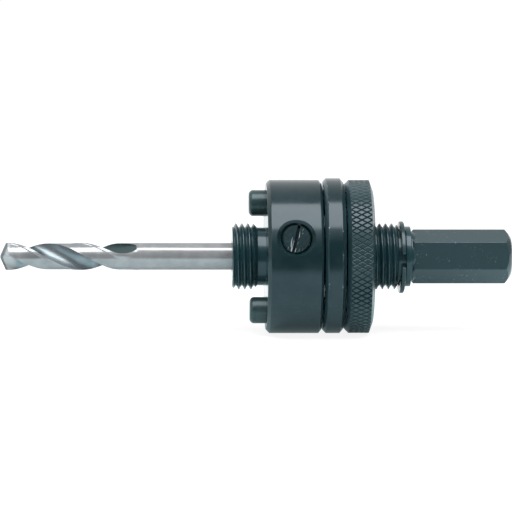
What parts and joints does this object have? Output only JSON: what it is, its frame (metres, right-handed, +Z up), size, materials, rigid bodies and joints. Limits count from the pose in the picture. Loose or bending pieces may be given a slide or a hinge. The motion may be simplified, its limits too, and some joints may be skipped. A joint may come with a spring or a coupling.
{
  "type": "hole saw arbor",
  "caption": "Hole saw arbor with a hex shank, flanged body, sliding drive pin plate, knurled lock nut, retaining ring, set screw and twist pilot drill.",
  "frame": {"origin": "on the surface the rims lie on, under the middle of the overall length and the spindle axis", "axes": "+X along the spindle axis from the drill point to the shank end, +Z up, lying on its rims"},
  "size_m": [0.1204, 0.0366, 0.0366],
  "materials": {
    "black_oxide_steel": "black oxide over fine turning marks, light oil sheen",
    "black_pin_steel": "black oxide on ground dowel pins",
    "ring_spring_steel": "grey blued spring steel",
    "black_screw_steel": "black oxide, slightly rough",
    "bright_tool_steel": "bright ground high speed steel"
  },
  "bodies": {
    "arbor": {"arbor_body": "black_oxide_steel", "retaining_ring": "ring_spring_steel"},
    "pin_plate": {"pin_plate": "black_oxide_steel", "drive_pin_upper": "black_pin_steel", "drive_pin_lower": "black_pin_steel"},
    "lock_nut": {"lock_nut": "black_oxide_steel"},
    "set_screw": {"set_screw": "black_screw_steel"},
    "pilot_drill": {"pilot_drill": "bright_tool_steel"}
  },
  "joints": [
    {"name": "plate_slide", "type": "slide", "parent": "arbor", "child": "pin_plate", "axis": [1, 0, 0], "range_m": [0, 0.006]},
    {"name": "nut_turn", "type": "hinge", "parent": "pin_plate", "child": "lock_nut", "pos_m": [0.02408, 0, 0.01808], "axis": [1, 0, 0], "range_deg": [0, 1530]},
    {"name": "set_screw_travel", "type": "slide", "parent": "arbor", "child": "set_screw", "axis": [0, -0.9272, 0.3746], "range_m": [0, 0.00282]},
    {"name": "drill_slide", "type": "slide", "parent": "arbor", "child": "pilot_drill", "axis": [-1, 0, 0], "range_m": [0, 0.012]}
  ],
  "couplings": [
    {"joint": "nut_turn", "follows": "plate_slide", "rad_per_m": 4452.7}
  ]
}
